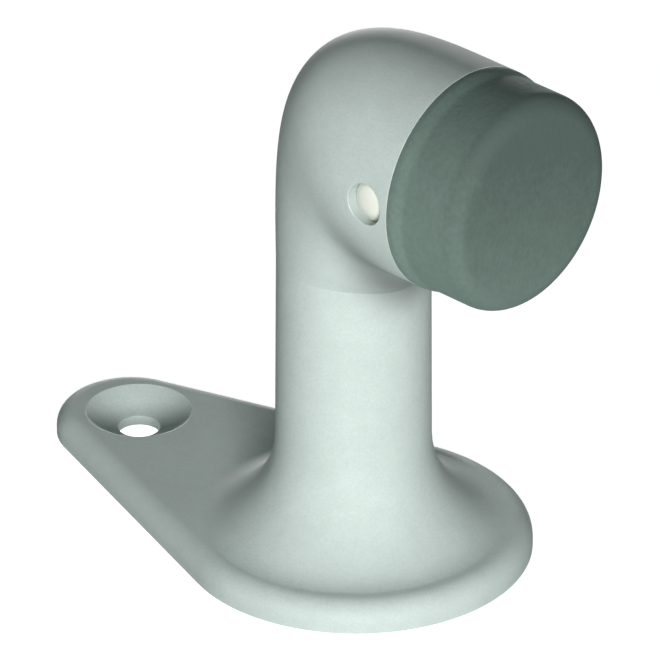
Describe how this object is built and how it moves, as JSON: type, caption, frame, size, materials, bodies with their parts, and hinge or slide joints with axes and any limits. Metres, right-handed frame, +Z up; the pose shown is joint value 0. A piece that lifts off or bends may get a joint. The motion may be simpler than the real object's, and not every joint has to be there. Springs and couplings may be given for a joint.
{
  "type": "gooseneck floor stop",
  "caption": "Cast gooseneck door stop: a teardrop foot with a tail screw hole, a flared round post, and a bent head whose level nose holds a round rubber bumper.",
  "frame": {"origin": "on the floor plane, on the post's axis, at the mouth of the fixing hole under the post", "axes": "+X towards the nose and bumper, -X towards the foot's tail, +Z up along the post"},
  "size_m": [0.0824, 0.0462, 0.0762],
  "materials": {
    "cast_aluminium": "satin cast",
    "grey_rubber": "matt",
    "bright_steel": "bright"
  },
  "bodies": {
    "root": {"cast_body": "cast_aluminium", "rubber_bumper": "grey_rubber", "retaining_pin": "bright_steel"}
  },
  "joints": []
}
